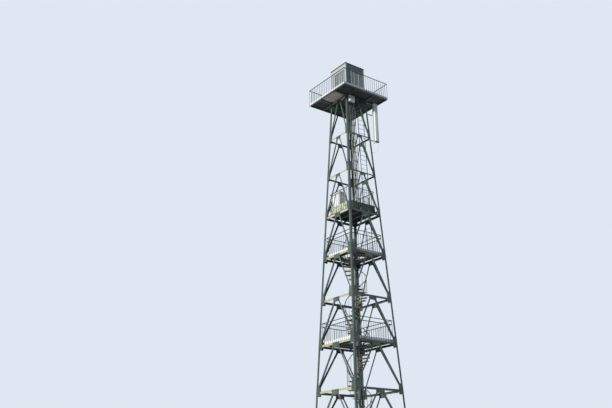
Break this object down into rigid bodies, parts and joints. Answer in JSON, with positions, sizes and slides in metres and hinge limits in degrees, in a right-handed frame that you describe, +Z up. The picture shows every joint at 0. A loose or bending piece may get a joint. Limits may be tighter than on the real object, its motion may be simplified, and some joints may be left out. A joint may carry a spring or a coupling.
{
  "type": "steel lattice watchtower",
  "caption": "Tapering four-legged steel lattice watchtower with helical stair, landings, ladders, equipment platform and a small cabin on a railed gallery.",
  "frame": {"origin": "tower axis at ground level, on the underside of the stair column's base plate", "axes": "+Z up, -Y is the shaded front side in the picture, -X is the sunlit side"},
  "size_m": [4.32, 4.32, 27.3663],
  "materials": {
    "green_paint": "weathered satin",
    "pale_paint": "weathered satin",
    "galvanised_steel": "spangled, dull",
    "deck_timber": "weathered planks",
    "tread_timber": "weathered planks",
    "cabin_cladding": "satin",
    "roof_sheet": "satin",
    "window_glass": "clear",
    "cable_sheath": "matt",
    "radome": "satin",
    "white_enamel": "satin"
  },
  "bodies": {
    "root": {"base_plates": "galvanised_steel", "corner_legs": "green_paint", "gusset_plates": "green_paint", "front_lattice": "green_paint", "right_lattice": "green_paint", "back_lattice": "green_paint", "left_lattice": "green_paint", "newel_column": "green_paint", "landing_frames": "green_paint", "toe_boards": "pale_paint", "lower_treads": "tread_timber", "middle_treads": "tread_timber", "upper_treads": "tread_timber", "lower_stair_rail": "green_paint", "middle_stair_rail": "green_paint", "upper_stair_rail": "green_paint", "lower_landing_deck": "deck_timber", "middle_landing_deck": "deck_timber", "upper_landing_deck": "deck_timber", "lower_landing_railing": "green_paint", "middle_landing_railing": "green_paint", "upper_landing_railing": "green_paint", "equipment_frame": "green_paint", "equipment_deck": "deck_timber", "equipment_skirt": "green_paint", "equipment_railing": "green_paint", "equipment_cabinet": "white_enamel", "gallery_frame": "green_paint", "gallery_deck": "deck_timber", "gallery_railing": "green_paint", "cabin_front_wall": "cabin_cladding", "cabin_right_wall": "cabin_cladding", "cabin_back_wall": "cabin_cladding", "cabin_left_wall": "cabin_cladding", "cabin_windows": "window_glass", "cabin_door": "cabin_cladding", "cabin_roof": "roof_sheet", "upper_ladder": "green_paint", "lower_ladder": "green_paint", "cable_ladder": "galvanised_steel", "feeder_cables": "cable_sheath", "radio_unit": "white_enamel", "panel_antenna": "radome", "antenna_bracket": "galvanised_steel", "jumper_cable": "cable_sheath"}
  },
  "joints": []
}
